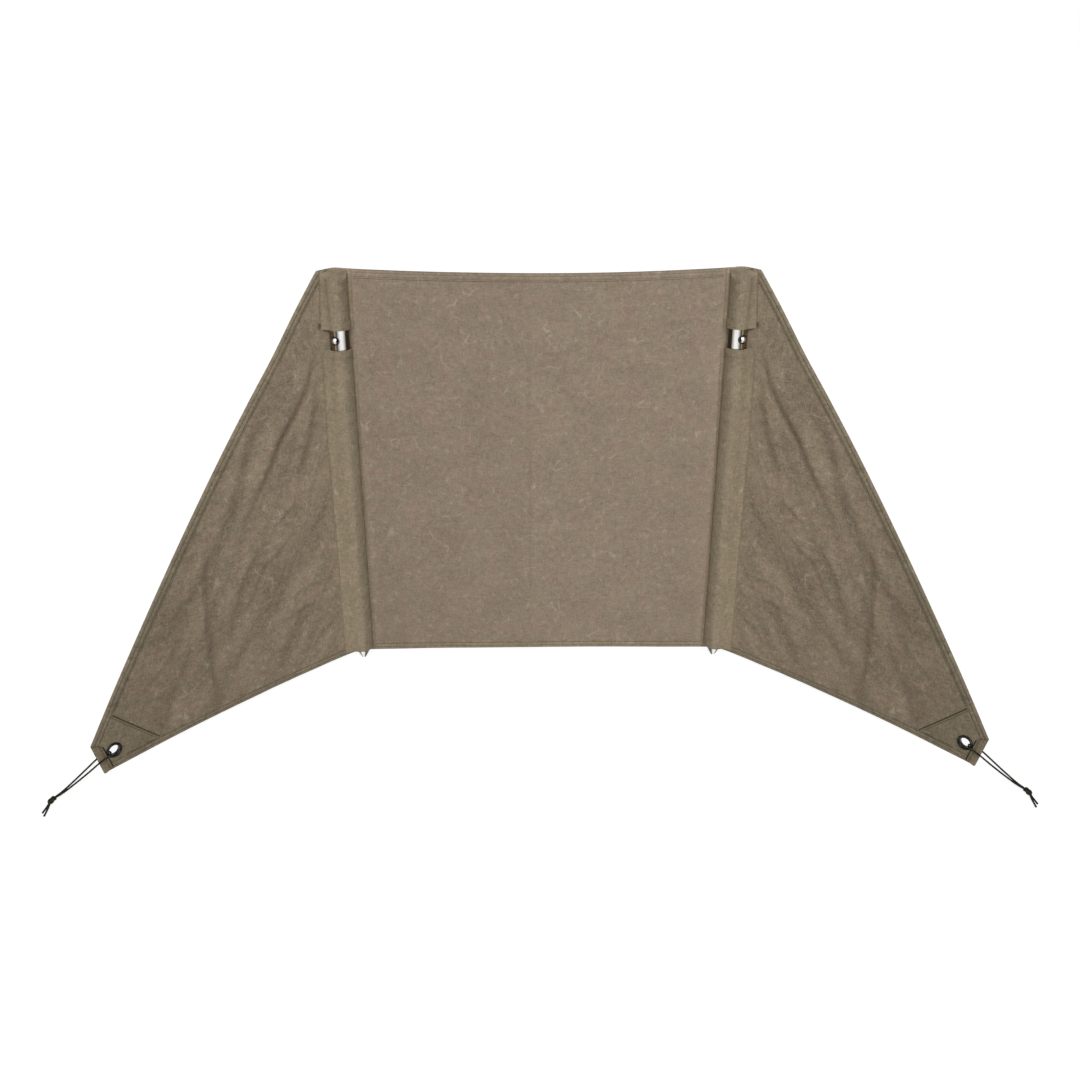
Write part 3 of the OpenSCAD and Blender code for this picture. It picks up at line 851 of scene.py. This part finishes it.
lowStart = lowCorner + lowDir * hemEnds["pole"]
slopeShears = (slopeOut.y / slopeDir.y, mitre(-slopeOut, slopeDir))
wings = makePair(wingSheet(), "wing_canvas", wingCanvas)
hems = makePair(joinMeshes([
    hemRoll(corner, tipHigh, -slopeOut, hemRows["slope"], "wing", slopeShears),
    hemRoll(lowStart, tipLow, lowIn, hemRows["low"], "wing", (0.0, mitre(lowIn, lowDir))),
]), "wing_hem", hemCanvas)
centre = makePiece(centreSheet(), "centre_canvas", canvas)
topEnds = [(hemEnds["top"], screen["top"]), (-hemEnds["top"], screen["top"])]
footEnds = [(-hemEnds["foot"], screen["low"]), (hemEnds["foot"], screen["low"])]
topHem = makePiece(hemRoll(*topEnds, (0, -1), hemRows["top"], "centre"), "centre_top_hem", canvas)
lowHem = makePiece(hemRoll(*footEnds, (0, 1), hemRows["foot"], "centre"), "centre_low_hem", sleeveCanvas)
for piece in (centre, *wings.values()):
    thicken(piece, screen["thick"])
print("panels hung")


# Sleeves and pockets: a strip from the wing, round the front of the pole, to the middle panel.
# The edges are height and distance from the pole axis, along the wing and the middle panel

sleeveCut = {
    "wingEdge": [(4, 20.4), (72, 20.3), (142, 19.6), (224, 20.0), (301, 19.6), (374, 18.0), (410.5, 16.4)],
    "centreEdge": [(4, 13.8), (62, 14.2), (134, 13.8), (216, 13.4), (294, 13.8), (368, 15.6),
                   (410.5, 16.2)],
    "low": 4.0, "high": 410.5, "wingBand": 2.2, "foot": 10.5, "dip": 0.5, "hem": 9.0, "ease": 0.25,
    "cutUp": (10.0, 4.0, 30.0),  # rise of the lower edge at the front and at the middle panel, and its reach
    "drop": (2.4, 4.6),    # how far the window edge drops at the wing and at the middle panel
    "thick": 0.8,
    "seam": 0.12,
}
pocketCut = {
    "wingEdge": [(433.5, 17.4), (450, 15.8), (466, 14.6), (498, 13.6)],
    "centreEdge": [(433, 15.6), (460, 15.6), (498, 16.4)],
    "low": 433.5, "high": 489.8, "wingBand": 2.2, "foot": 10.6, "dip": 1.6, "hem": 8.0, "ease": 0.35,
    "roof": 6.6,           # how far the closed top slopes up to the back
    "flank": (3, 0.7),     # how late the flanks rise to it, and how far at the wing
    "dome": 0.9,
    "narrow": 0.06,
    "behind": 0.4,         # how far before the canvas the lid ends
    "fall": 1.5,
    "lid": (0.05, 0.12, 0.22, 0.36, 0.52, 0.7, 0.86, 1.0),
    "lidLong": 22.0,
    "pucker": (0.5, 15.0, 25.0),  # gathers: height, waves across, and the height over which they grow
    "drop": (2.2, 5.0),
    "thick": 0.8,
    "seam": 0.4,
}
stripLook = {
    "wingBand": (0.0, 0.5, 1.0), "wingRun": (0.2, 0.4, 0.6, 0.8), "round": 20,
    "centreRun": (0.15, 0.3, 0.45, 0.6, 0.75, 0.9), "centreBand": (0.0, 0.5, 1.0),
    "row": 3.0,
    "snug": 0.35,                # the strip is drawn closer to the pole than the canvas behind it
    "over": (0.9, 470.0, 16.0),  # how far it stands off to clear the sloping hem at the top, and where
    "double": 0.4,               # the turned edge is double,
    "turn": 0.5,                 # steps down over twice this
    "thin": 8,                   # and thins out over an eighth of the strip at each seam
    "lip": 0.4,
    "rounded": 0.25,
    "loose": 0.7,                # how soon the strip comes loose beside its seams
    "slack": ((0.9, 3.1, 60.0, 4.4), (0.4, 6.0, 23.0, 8.1)),  # waves: height, number across, length, seed
    "slackMean": 0.6,
    "dropReach": 12.0,
    "paintedSeamShading": (0.32, 10.0, 2.0),   # painted light on the seam band, and painted shade in the valley beside the pole
    "paintedValleyShade": (0.15, 6.5, 3.2),
    "mottle": (0.03, 5, 30, 6.6),
}


def overHem(z):
    off, start, long = stripLook["over"]
    return float(smooth((z - start) / long)) * off


def stripSection(cut, z):  # points across the strip at one height, from the pole axis, in mm
    lay = (screen["thick"] + cut["thick"]) / 2
    ring = screen["ring"] - stripLook["snug"]
    wingEdge = float(np.interp(z, *zip(*cut["wingEdge"])))
    centreEdge = float(np.interp(z, *zip(*cut["centreEdge"])))

    def wingSpot(s):
        n = float(wingMiddle(s)) - lay - overHem(z)
        return Vector((-s * foldCos - n * foldSin, -s * foldSin + n * foldCos))

    bandEnd = wingSpot(wingEdge - cut["wingBand"])
    seamStart = Vector((cut["foot"], screen["ring"] - lay))
    seamEnd = Vector((centreEdge, screen["ring"] - lay))
    enter = math.atan2(bandEnd.y, bandEnd.x) % (2 * math.pi) + math.acos(ring / bandEnd.length)
    leave = math.atan2(seamStart.y, seamStart.x) + 2 * math.pi
    leave -= math.acos(min(ring / seamStart.length, 1.0))
    touch = Vector((math.cos(enter), math.sin(enter))) * ring
    away = Vector((math.cos(leave), math.sin(leave))) * ring
    run = touch - bandEnd
    inward = Vector((-run.y, run.x)).normalized()
    line = [wingSpot(wingEdge - cut["wingBand"] * f) for f in stripLook["wingBand"]]
    line += [bandEnd + run * f + inward * (cut["dip"] * 4 * f * (1 - f)) for f in stripLook["wingRun"]]
    for k in range(stripLook["round"] + 1):
        a = enter + (leave - enter) * k / stripLook["round"]
        line.append(Vector((math.cos(a), math.sin(a))) * ring)
    line += [away + (seamStart - away) * f for f in stripLook["centreRun"]]
    line += [seamStart + (seamEnd - seamStart) * f for f in stripLook["centreBand"]]
    return line


def wallBehind(x):  # front of the canvas behind the pole, beside the pole axis
    ring = screen["ring"] - screen["thick"] / 2
    turn = ring * foldSin
    if x > 0:
        return ring
    if x > -turn:
        return math.sqrt(ring ** 2 - x ** 2)
    return ring * foldCos + (x + turn) * foldSin / foldCos


def stripRows(cut, lid):  # heights, and how far the lid is closed
    low, high, hem = cut["low"], cut["high"], cut["hem"]
    lip, turn = stripLook["lip"], stripLook["turn"]
    free = [low, low + lip] if lid else [high - lip, high]  # the free edge shows in the window
    step = [low + hem - turn, low + hem + turn] if lid else [high - hem - turn, high - hem + turn]
    count = round((high - low) / stripLook["row"])
    even = {round(low + (high - low) * k / count, 2) for k in range(count + 1)}
    rows = [(z, 0.0) for z in sorted(even | set(free) | set(step))]
    return rows + [(high, close) for close in cut["lid"]] if lid else rows


def stripSpot(cut, lid, point, share, z, close):
    low, high = cut["low"], cut["high"]
    edgeGap = z - low if lid else high - z
    turn, thin = stripLook["turn"], stripLook["thin"]
    proud = stripLook["double"] * float(smooth((cut["hem"] + turn - edgeGap) / (2 * turn)))
    proud *= min(1.0, thin * share, thin * (1 - share))
    loose = math.sin(math.pi * share) ** stripLook["loose"]
    ease = stripLook["slackMean"]
    for size, waves, long, seed in stripLook["slack"]:
        ease += size * noise.noise(Vector((share * waves, z / long, seed)))
    ease *= cut["ease"] * loose
    if lid:
        size, waves, grown = cut["pucker"]
        ease += size * loose * math.sin(share * waves) * float(smooth((z - low) / grown))
    spot = point + point.normalized() * (max(ease, 0.0) + proud)
    if lid:  # the pocket is closed over the pole's end
        late, wingShare = cut["flank"]
        flank = cut["roof"] * (1 - loose) * ((z - low) / (high - low)) ** late
        flank *= wingShare if share < 0.5 else 1.0
        slope = cut["roof"] * loose * close + cut["dome"] * math.sin(math.pi * close)
        across = spot.x * (1 - cut["narrow"] * close)
        back = max(wallBehind(across) - cut["behind"], spot.y)
        spot = Vector((across, spot.y + (back - spot.y) * (1 - (1 - close) ** cut["fall"])))
        up = z + flank + slope
    else:
        front, middle, reach = cut["cutUp"]
        rise = front * loose + middle * max(2 * share - 1, 0.0)
        up = z + rise * math.exp(-(z - low) / reach)
    end = cut["drop"][0 if share < 0.5 else 1] * (1 - loose)
    return spot.x, spot.y, up - end * math.exp(-edgeGap / stripLook["dropReach"])


def stripSheet(cut, lid=False):
    rows = stripRows(cut, lid)
    table, lengths = [], []
    for z, close in rows:
        section = stripSection(cut, z)
        gone = [0.0]
        for a, b in zip(section, section[1:]):
            gone.append(gone[-1] + (b - a).length)
        shares = [length / gone[-1] for length in gone]
        table.append([stripSpot(cut, lid, point, share, z, close) for point, share in zip(section, shares)])
        lengths.append((gone, close * cut["lidLong"] if lid else 0.0))
    last = len(table[0]) - 1
    bm, spots = gridSheet(last, len(table) - 1)
    flat, seam, paintedLightAndMottle = clothLayers(bm)
    pale, paleAt, paleOver = stripLook["paintedSeamShading"]
    dark, darkAt, darkWide = stripLook["paintedValleyShade"]
    mottle, mottleWide, mottleHigh, seed = stripLook["mottle"]
    for vert, (across, along) in zip(bm.verts, spots):
        i, j = round(across * last), round(along * (len(table) - 1))
        x, y, z = table[j][i]
        vert.co = Vector((x - screen["halfGap"], y + screen["poleY"], z)) * mm
        vert[flat] = Vector((lengths[j][0][i], rows[j][0] + lengths[j][1], 0.0)) * mm
        vert[seam] = cut["seam"] if i in (0, last) else 0.0
        # painted light on the seam band and painted shade in the valley beside the pole
        paintedSeamShading = pale * float(smooth((x - paleAt) / paleOver))
        paintedSeamShading -= dark * math.exp(-((x - darkAt) / darkWide) ** 2)
        vert[paintedLightAndMottle] = mottle * noise.noise(Vector((i / mottleWide, rows[j][0] / mottleHigh, seed))) + paintedSeamShading
    bmesh.ops.recalc_face_normals(bm, faces=bm.faces[:])
    return bm


sleeves = makePair(stripSheet(sleeveCut), "sleeve_canvas", sleeveCanvas)
pockets = makePair(stripSheet(pocketCut, lid=True), "pocket_canvas", sleeveCanvas)
for piece in (*sleeves.values(), *pockets.values()):
    thicken(piece, sleeveCut["thick"], edge=stripLook["rounded"])
print("sleeves sewn")


# Wing corners: a sewn-on patch with a turned edge, and the tab folded over the cut tip

patchCut = {
    "low": (270.0, 0.0),
    "high": (334.2, 73.0),
    "box": ((264.0, 0.0), (362.0, 84.0)),
    "step": 2.0,
    "rows": 30,
    "hem": 9.7,
    "tip": 0.6,
    "front": -1.05,
    "thick": 0.9,
    "raise": (0.33, 17.0, 5.0),  # pressed forward round the eyelet: how far, and its radius and slope
}
patchLow, patchHigh = Vector(patchCut["low"]), Vector(patchCut["high"])
patchDir = (patchHigh - patchLow).normalized()
patchIn = Vector((patchDir.y, -patchDir.x))
# the turned edge's profile: distance in from the edge, distance behind the canvas and how dark; its first
# rows are a flat dark lip on the wing beyond the edge, a painted shadow of the turned edge
patchFold = [
    (0.2, -0.5, 1.0), (-0.8, -0.66, 1.0), (-0.7, -0.85, 1.0), (0.0, -1.2, 1.0), (0.25, -1.7, 0.6),
    (0.8, -1.92, 0.15), (1.9, -1.95, 0.0), (2.4, -1.75, 0.9), (2.9, -1.7, 0.3), (3.2, -1.2, 0.0),
    (2.0, -0.5, 0.0),
]


def patchSheet():
    bm = flatSheet(*patchCut["box"], patchCut["step"])
    hem = patchCut["hem"]
    cutAlong(bm, lowCorner + lowIn * hem, tipLow + lowIn * hem)
    cutAlong(bm, tipLow + cutIn * patchCut["tip"], tipHigh + cutIn * patchCut["tip"])
    cutAlong(bm, tipHigh - slopeOut * hem, corner - slopeOut * hem)
    cutAlong(bm, patchHigh + patchIn, patchLow + patchIn)
    bmesh.ops.dissolve_degenerate(bm, dist=0.05, edges=bm.edges[:])
    roundHole(bm, wingCut["eyelet"], wingCut["eyeletHole"])
    clothLayers(bm)
    middle = Vector(wingCut["eyelet"])
    pressed, radius, slope = patchCut["raise"]
    for vert in bm.verts:
        near = (vert.co.xy - middle).length
        vert.co.z = patchCut["front"] - pressed * float(smooth((radius - near) / slope))
    return hang(bm, "wing")


def patchEdge():
    def crossing(spot, normal):  # where the patch's edge meets a hem's inner line
        return patchLow + patchDir * ((spot - patchLow).dot(normal) / patchDir.dot(normal))

    first = crossing(lowCorner + lowIn * patchCut["hem"], lowIn)
    last = crossing(corner - slopeOut * patchCut["hem"], slopeOut)

    def place(spot, along):
        at = first + (last - first) * along + patchIn * spot[0]
        return Vector((at.x, at.y, spot[1]))

    return hang(sweptBar(patchFold, patchCut["rows"], place), "wing")


tabCut = {"wide": 10.5, "mitreHigh": 9.0, "mitreLow": 1.0, "round": 2.6, "inset": 0.3, "rows": 20}
# the tab's profile: distance in from the cut tip, distance behind the canvas and how dark; its first rows are
# a dark lip on the wing beyond the tab's inner edge, a painted shadow of that edge
tabFold = [
    (10.3, -1.5, 1.2), (11.9, -1.58, 1.2), (11.8, -1.85, 1.2), (10.7, -2.2, 1.2), (10.3, -2.75, 0.9),
    (9.9, -2.95, 0.1), (9.2, -3.0, 0.0), (8.7, -2.95, 0.3), (8.2, -2.75, 0.8), (7.7, -2.95, 0.3),
    (5.0, -3.05, 0.0), (2.0, -3.0, 0.0), (0.9, -2.75, 0.0), (0.2, -2.2, 0.2), (-0.1, -1.2, 0.3),
    (0.0, -0.2, 0.3), (0.5, 0.5, 0.2), (1.6, 0.78, 0.0), (3.0, 0.6, 0.0), (3.2, -0.4, 0.0),
    (3.4, -1.4, 0.0),
]


def cornerTab():
    long = (tipHigh - tipLow).length

    def place(spot, along):
        deep = min(max(spot[0] / tabCut["wide"], 0.0), 1.0)
        first = tabCut["inset"] + tabCut["mitreLow"] * deep
        last = long - tabCut["inset"] - tabCut["mitreHigh"] * deep ** tabCut["round"]
        at = tipLow + cutDir * (first + (last - first) * along) + cutIn * spot[0]
        return Vector((at.x, at.y, spot[1]))

    return hang(sweptBar(tabFold, tabCut["rows"], place), "wing")


patches = makePair(patchSheet(), "patch_canvas", patchCanvas)
for piece in patches.values():
    thicken(piece, patchCut["thick"])
patchEdges = makePair(patchEdge(), "patch_edge", patchCanvas)
tabs = makePair(cornerTab(), "tab_canvas", patchCanvas)
print("corners sewn")


# Stitching: each stitch is a small raised twist of thread, at its heights before and behind the canvas

stitching = {
    "pitch": 4.0, "long": 3.1, "wide": 0.8, "high": 0.5, "lean": 0.05,
    "hems": ((3.8, (-1.3, 0.68)), (8.4, (-1.25, 0.68))),
    "seam": (-1.45, 0.66),
    "seamIn": {"wingEdge": 1.1, "centreEdge": 0.8},
    "seamEnds": (2, 3),
    "patch": (2.4, (-1.85, 0.66)),
    "tab": (8.2, (-2.85,)),
    "tack": (7, 0.75, 4.4, 0.35, -1.95),  # bar tack: stitches, spacing, length, lean and height
    "tackIn": (0.8, 2.5),
    "ends": {"slope": 6, "low": 10, "patch": (16, 14), "tab": (3, 9), "centre": 2},  # how far rows stop short
}


def addStitch(bm, at, way, long=stitching["long"]):
    turn = math.atan2(way.y, way.x) + dice.uniform(-stitching["lean"], stitching["lean"])
    size = [length / 2 for length in (long, stitching["wide"], stitching["high"])]
    placed = Matrix.Translation(at) @ Matrix.Rotation(turn, 4, "Z") @ Matrix.Diagonal((*size, 1.0))
    bmesh.ops.create_icosphere(bm, subdivisions=1, radius=1.0, matrix=placed)


def stitchRow(bm, a, b, heights):
    a, b = Vector(a), Vector(b)
    way = (b - a).normalized()
    count = int((b - a).length / stitching["pitch"])
    for k in range(count):
        at = a + way * (k + 0.5) * (b - a).length / count
        for n in heights:
            addStitch(bm, (at.x, at.y, n), way)


def barTack(bm, s, z):  # a dense block of short stitches that stops a corner from tearing
    count, pitch, long, lean, n = stitching["tack"]
    for k in range(count):
        way = Vector((1.0, lean if k % 2 else -lean))
        addStitch(bm, (s, z + (k - count // 2) * pitch, n), way, long)


def seamRun(cut, edge):  # pairs of points along a strip's edge
    low, high = cut["low"], cut["high"]
    first, last = stitching["seamEnds"]
    heights = np.linspace(low + first, high - last, round((high - low) / stitching["pitch"]))
    points = [(z, float(np.interp(z, *zip(*cut[edge])))) for z in heights]
    return zip(points, points[1:])


def wingStitches():
    bm = bmesh.new()
    ends = stitching["ends"]
    for inset, cover in stitching["hems"]:
        short = slopeDir * ends["slope"]
        stitchRow(bm, corner - slopeOut * inset + short, tipHigh - slopeOut * inset - short, cover)
        stitchRow(bm, lowStart + lowIn * inset, tipLow + lowIn * inset - lowDir * ends["low"], cover)
    inset, cover = stitching["patch"]
    first, last = ends["patch"]
    stitchRow(bm, patchLow + patchDir * first + patchIn * inset,
              patchHigh - patchDir * last + patchIn * inset, cover)
    inset, cover = stitching["tab"]
    first, last = ends["tab"]
    stitchRow(bm, tipLow + cutIn * inset + cutDir * first, tipHigh + cutIn * inset - cutDir * last, cover)
    z, s = pocketCut["wingEdge"][0]
    aside, up = stitching["tackIn"]
    barTack(bm, s - aside, z + up)
    return hang(bm, "wing")


def wingSleeveStitches():
    bm = bmesh.new()
    front, back = stitching["seam"]
    inset = stitching["seamIn"]["wingEdge"]
    for cut in (sleeveCut, pocketCut):
        for (z, s), (above, past) in seamRun(cut, "wingEdge"):
            for n in (front - overHem(z), back):
                addStitch(bm, (s - inset, z, n), Vector((past - s, above - z)))
    return hang(bm, "wing")


def centreStitches():
    bm = bmesh.new()
    end = hemEnds["foot"] - stitching["ends"]["centre"]
    for inset, cover in stitching["hems"]:
        z = screen["low"] + inset
        stitchRow(bm, (end, z), (-end, z), cover)
    return hang(bm, "centre")


def centrePaleStitches():  # the top hem and the strips' seams, whose thread is near the canvas in colour
    bm = bmesh.new()
    end = hemEnds["top"] - stitching["ends"]["centre"]
    for inset, cover in stitching["hems"]:
        z = screen["top"] - inset
        stitchRow(bm, (end, z), (-end, z), cover)
    inset = stitching["seamIn"]["centreEdge"]
    for side in (1, -1):
        for cut in (sleeveCut, pocketCut):
            for (z, x), (above, past) in seamRun(cut, "centreEdge"):
                for n in stitching["seam"]:
                    at = (side * (screen["halfGap"] - x + inset), z, n)
                    addStitch(bm, at, Vector((side * (x - past), above - z)))
    return hang(bm, "centre")


wingSeams = makePair(wingStitches(), "wing_stitches", thread)
centreSeams = makePiece(centreStitches(), "centre_stitches", thread)
wingSleeveSeams = makePair(wingSleeveStitches(), "wing_sleeve_stitches", paleThread)
centreSleeveSeams = makePiece(centrePaleStitches(), "centre_sleeve_stitches", paleThread)
print("stitched")


# A dark ring round each pole's spring button: painted shade, set where the gap round the button lies in shade

buttonShadeRingCut = {
    "height": 421.75, "turn": 22.0, "pole": 11.0, "rows": 40,
    "fold": [(4.2, -0.1), (4.25, 0.15), (4.6, 0.25), (5.0, 0.2), (5.3, -0.1)],
}


def buttonShadeRing():
    start = -math.pi / 2 - math.radians(buttonShadeRingCut["turn"])

    def place(spot, along):
        turn = 2 * math.pi * along
        angle = start + math.asin(spot[0] * math.cos(turn) / buttonShadeRingCut["pole"])
        out = buttonShadeRingCut["pole"] + spot[1]
        return Vector((out * math.cos(angle) - screen["halfGap"], out * math.sin(angle) + screen["poleY"],
                       buttonShadeRingCut["height"] + spot[0] * math.sin(turn))) * mm

    return sweptBar(buttonShadeRingCut["fold"], buttonShadeRingCut["rows"], place)


buttonShadeRings = makePair(buttonShadeRing(), "button_shade_ring", eyeletMetal)
for piece in buttonShadeRings.values():
    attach(piece, "screen")
print("button rings set")


# The CAD nodes that the pieces replace are hidden, some pieces are set on a body and the rest baked in place,
# and the CAD metals get their materials

bendHeight = 250.0
bendLines = {        # ends of lines about the left pole's axis where the canvas starts and ends to follow a wing; nothing here bends a piece with them
    "back": ((0.0, screen["ring"]), (-14.4, 3.4)),
    "front": ((0.0, -screen["ring"]), (-14.5, -4.0)),
    "pocket": ((-2.0, 0.0), (-16.0, 0.0)),
}


def bendEnds(line, sign):
    return [(sign * (screen["halfGap"] - x) * mm, (screen["poleY"] + y) * mm, bendHeight * mm)
            for x, y in bendLines[line]]


for piece in (centre, topHem, lowHem, centreSeams, centreSleeveSeams):
    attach(piece, "screen")
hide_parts("centre_panel")

for side, sign in sides.items():
    body, pole = side + "_side", side + "_pole"
    start, end = bendEnds("back", sign)
    for piece in (wings[side], hems[side], wingSeams[side], wingSleeveSeams[side]):
        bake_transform(piece)
        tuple(start)
        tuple(end)
    for piece, line in ((sleeves[side], "front"), (pockets[side], "pocket")):
        start, end = bendEnds(line, sign)
        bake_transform(piece)
        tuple(start)
        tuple(end)
    for piece in (patches[side], patchEdges[side], tabs[side]):
        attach(piece, body)
    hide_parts(side + "_wing")
    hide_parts(side + "_sleeve")
    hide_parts(side + "_pocket")
    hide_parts(side + "_corner_patch")
    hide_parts(side + "_corner_tab")
    metals = {**steels[side], "eyelet": eyeletMetal, "eyelet_washer": eyeletMetal}
    for name, metal in metals.items():
        for place in nodes[side + "_" + name].material_slots:
            place.link, place.material = "OBJECT", metal
print("pieces joined to their bodies")


# The studio: a white floor and one broad soft light from the front

studio = {
    "sun": 2.5, "sunAngle": 45.0, "sunHeight": 33.0,
    "ambient": 0.17,
    "floor": 6.0, "floorGlow": 0.86, "floorWhite": 0.3, "floorBounce": 0.25,
}


def seenRays(tree):  # 1 where the camera looks, straight or through a mirror or glass
    path = addNode(tree, "ShaderNodeLightPath").outputs
    seen = sums(tree, "MAXIMUM", path["Is Camera Ray"], path["Is Glossy Ray"])
    return sums(tree, "MAXIMUM", seen, path["Is Transmission Ray"])


def backdrop(look):
    world = bpy.data.worlds.new("studio")
    scene.world = world
    world.use_nodes = True
    tree = world.node_tree
    level = ranged(tree, seenRays(tree), first=look["ambient"])
    plug(tree, tree.nodes["Background"], {"Color": (1.0, 1.0, 1.0, 1.0), "Strength": level})

    bm = bmesh.new()
    bmesh.ops.create_grid(bm, x_segments=4, y_segments=4, size=look["floor"])
    floor = makePiece(bm, "floor", paleFloor(look))


# Matt white paper sweep: shows as plain white and keeps the object's soft shadow
def paleFloor(look):
    material, tree, shader = newMaterial("mattWhitePaper")

    def paper(share):
        return addNode(tree, "ShaderNodeBsdfDiffuse", {"Color": (share, share, share, 1)}).outputs[0]

    glow = addNode(tree, "ShaderNodeEmission", {"Color": (1, 1, 1, 1), "Strength": look["floorGlow"]})
    white = addNode(tree, "ShaderNodeAddShader", {0: glow.outputs[0], 1: paper(look["floorWhite"])})
    sweep = addNode(tree, "ShaderNodeMixShader", {0: seenRays(tree), 1: paper(look["floorBounce"]),
                                                  2: white.outputs[0]})
    tree.nodes.remove(shader)
    tree.links.new(sweep.outputs[0], tree.nodes["Material Output"].inputs["Surface"])
    return material


def softLight(look):
    lamp = bpy.data.lights.new("softFront", "SUN")
    lamp.energy, lamp.angle = look["sun"], math.radians(look["sunAngle"])
    key = bpy.data.objects.new("softFront", lamp)
    key.rotation_euler = (math.radians(90 - look["sunHeight"]), 0.0, 0.0)
    scene.collection.objects.link(key)


backdrop(studio)
softLight(studio)
scene.view_settings.view_transform = "Standard"
print("studio lit")
